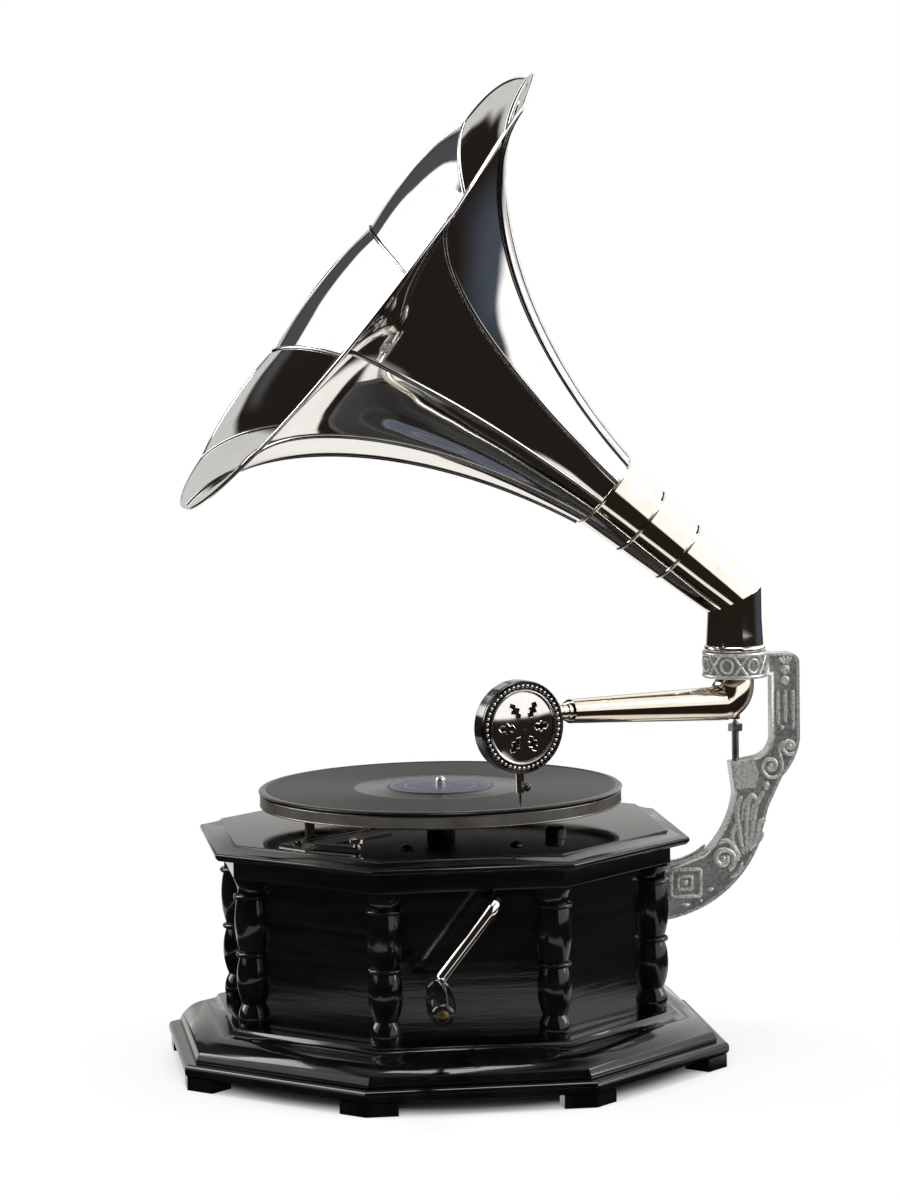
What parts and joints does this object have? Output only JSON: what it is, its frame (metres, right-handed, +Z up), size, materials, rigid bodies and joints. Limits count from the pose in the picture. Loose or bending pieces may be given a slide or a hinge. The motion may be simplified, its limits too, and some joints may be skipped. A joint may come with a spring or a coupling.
{
  "type": "horn gramophone",
  "caption": "Tabletop horn gramophone: octagonal lacquered cabinet with turned columns, crank-wound spring motor, turntable, swinging tonearm with sound box and petalled horn on a bracket.",
  "frame": {"origin": "centre of the octagonal base on the surface it stands on, below the turntable spindle", "axes": "+Z up along the spindle, -Y out of the side with the crank, +X out of the side with the horn bracket"},
  "size_m": [0.443, 0.4402, 0.684],
  "materials": {
    "black_lacquer": "black gloss lacquer",
    "nickel": "polished nickel plate",
    "antique_casting": "antiqued cast metal",
    "steel": "machined",
    "brass": "polished",
    "felt": "felt",
    "shellac": "grooved shellac",
    "label_paper": "printed paper, plain",
    "mica": "mica sheet",
    "rubber": "soft rubber",
    "black_grip": "black gloss lacquer"
  },
  "bodies": {
    "cabinet": {"feet": "black_lacquer", "bottom_board": "black_lacquer", "plinth_moulding": "black_lacquer", "front_panel": "black_lacquer", "bracket_panel": "black_lacquer", "side_panels": "black_lacquer", "corner_columns": "black_lacquer", "frieze": "black_lacquer", "top_board": "black_lacquer", "motor_plate": "steel", "lower_plate": "steel", "motor_pillars": "steel", "board_screws": "nickel", "bracket_casting": "antique_casting", "bracket_bolts": "steel", "pivot_screw": "nickel", "pivot_nut": "nickel", "brake_base": "nickel"},
    "turntable": {"spindle": "nickel", "governor_drive_wheel": "brass", "turntable_platter": "nickel", "turntable_felt": "felt", "record_disc": "shellac", "record_label": "label_paper"},
    "intermediate": {"intermediate_gear": "brass"},
    "barrel": {"spring_barrel": "steel", "barrel_cover": "steel", "mainspring": "steel"},
    "arbor": {"winding_arbor": "steel", "winding_wheel": "brass"},
    "click": {"click": "steel"},
    "crank": {"crank_arm": "nickel", "winding_shaft": "steel", "crank_rivet": "brass"},
    "grip": {"crank_knob": "black_grip"},
    "governor": {"governor_shaft": "steel", "governor_weights": "brass", "governor_springs": "steel", "governor_disc": "brass"},
    "regulator": {"regulator_knob": "brass", "regulator_arm": "steel"},
    "brake": {"brake_lever": "nickel", "brake_pad": "rubber", "brake_knob": "nickel"},
    "tonearm": {"tonearm_tube": "nickel", "tonearm_sleeve": "brass"},
    "sound_box": {"crook": "nickel", "sound_box_shell": "nickel", "sound_box_bezel": "nickel", "sound_box_cover": "nickel", "diaphragm": "mica", "diaphragm_gaskets": "rubber", "needle_bar": "nickel", "needle": "steel"},
    "needle_screw": {"needle_screw": "nickel"},
    "horn": {"horn_elbow": "nickel", "horn_throat": "nickel", "horn_petals": "nickel", "horn_seams": "nickel", "horn_rim": "nickel"}
  },
  "joints": [
    {"name": "turntable_spin", "type": "hinge", "parent": "cabinet", "child": "turntable", "pos_m": [0, 0, 0.18], "axis": [0, 0, 1], "continuous": true},
    {"name": "intermediate_spin", "type": "hinge", "parent": "cabinet", "child": "intermediate", "pos_m": [-0.0252, -0.02571, 0.076], "axis": [0, 0, 1], "continuous": true},
    {"name": "barrel_spin", "type": "hinge", "parent": "cabinet", "child": "barrel", "pos_m": [0.0135, -0.058, 0.086], "axis": [0, 0, 1], "continuous": true},
    {"name": "governor_spin", "type": "hinge", "parent": "cabinet", "child": "governor", "pos_m": [0.06, 0, 0.13], "axis": [1, 0, 0], "continuous": true},
    {"name": "crank_turn", "type": "hinge", "parent": "cabinet", "child": "crank", "pos_m": [0.0135, -0.14, 0.1365], "axis": [0, 1, 0], "continuous": true},
    {"name": "arbor_spin", "type": "hinge", "parent": "cabinet", "child": "arbor", "pos_m": [0.0135, -0.058, 0.12], "axis": [0, 0, 1], "continuous": true},
    {"name": "grip_spin", "type": "hinge", "parent": "crank", "child": "grip", "pos_m": [-0.02803, -0.18491, 0.08334], "axis": [-0.075, -0.9925, -0.096], "continuous": true},
    {"name": "click_lift", "type": "hinge", "parent": "cabinet", "child": "click", "pos_m": [0.03633, -0.04969, 0.117], "axis": [0, 0, -1], "range_deg": [0, 15]},
    {"name": "regulator_turn", "type": "hinge", "parent": "cabinet", "child": "regulator", "pos_m": [0.068, -0.082, 0.16], "axis": [0, 0, -1], "range_deg": [0, 8]},
    {"name": "brake_swing", "type": "hinge", "parent": "cabinet", "child": "brake", "pos_m": [-0.107, -0.081, 0.168], "axis": [0, 0, 1], "range_deg": [-20, 8]},
    {"name": "tonearm_swing", "type": "hinge", "parent": "cabinet", "child": "tonearm", "pos_m": [0.21, 0, 0.26], "axis": [0, 0, 1], "range_deg": [-17, 25]},
    {"name": "sound_box_lift", "type": "hinge", "parent": "tonearm", "child": "sound_box", "pos_m": [0.0803, -0.07128, 0.24996], "axis": [-0.8754, -0.4811, 0.0469], "range_deg": [0, 95]},
    {"name": "needle_screw_turn", "type": "hinge", "parent": "sound_box", "child": "needle_screw", "pos_m": [0.03899, -0.11556, 0.20645], "axis": [0.3712, -0.9285, 0], "continuous": true},
    {"name": "horn_swivel", "type": "hinge", "parent": "cabinet", "child": "horn", "pos_m": [0.21, 0, 0.275], "axis": [0, 0, 1], "continuous": true}
  ],
  "couplings": [
    {"joint": "intermediate_spin", "follows": "turntable_spin", "ratio": -0.2},
    {"joint": "barrel_spin", "follows": "turntable_spin", "ratio": 0.033333},
    {"joint": "governor_spin", "follows": "turntable_spin", "ratio": 6},
    {"joint": "arbor_spin", "follows": "crank_turn", "ratio": -0.33333}
  ]
}
